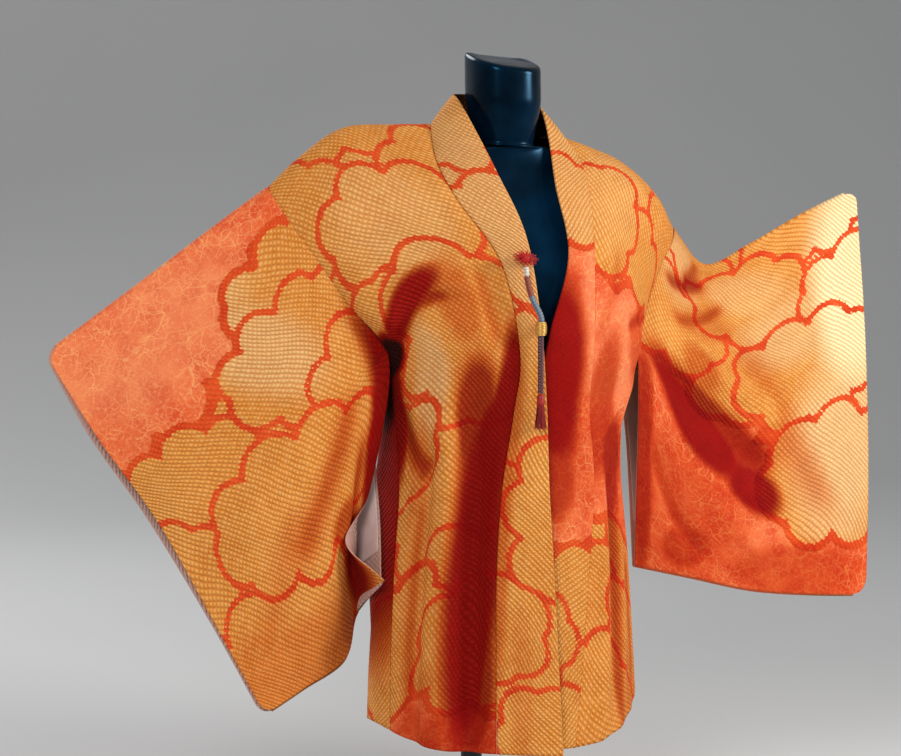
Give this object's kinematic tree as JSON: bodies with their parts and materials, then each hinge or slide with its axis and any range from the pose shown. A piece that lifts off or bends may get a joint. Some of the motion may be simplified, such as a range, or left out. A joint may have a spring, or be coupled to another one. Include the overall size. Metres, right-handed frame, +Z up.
{
  "type": "kimono jacket on dress form",
  "caption": "Hip-length kimono jacket in gold and vermilion dotted tie-dye silk, open at the front with a tasselled tie, on a limbless dress form and a short round stand.",
  "frame": {"origin": "on the floor under the middle of the round base", "axes": "+Z up, -Y the front of the jacket, +X the wearer's left"},
  "size_m": [1.1227, 0.3546, 0.9859],
  "materials": {
    "shibori_silk": "matte",
    "lining_silk": "satin",
    "form_gloss": "gloss",
    "stand_steel": "satin",
    "tie_braid": "matte",
    "tie_red": "matte",
    "tie_gold": "satin"
  },
  "bodies": {
    "root": {"body_right": "shibori_silk", "body_left": "shibori_silk", "gusset_right": "shibori_silk", "gusset_left": "shibori_silk", "sleeve_right": "shibori_silk", "sleeve_left": "shibori_silk", "collar_band": "shibori_silk", "lining_right": "lining_silk", "lining_left": "lining_silk", "form_torso": "form_gloss", "form_neck": "form_gloss", "stand_pole": "stand_steel", "stand_base": "stand_steel", "tie_cord": "tie_braid", "tie_knot": "tie_gold", "tie_tassel": "tie_red", "tie_tuft": "tie_red"}
  },
  "joints": []
}
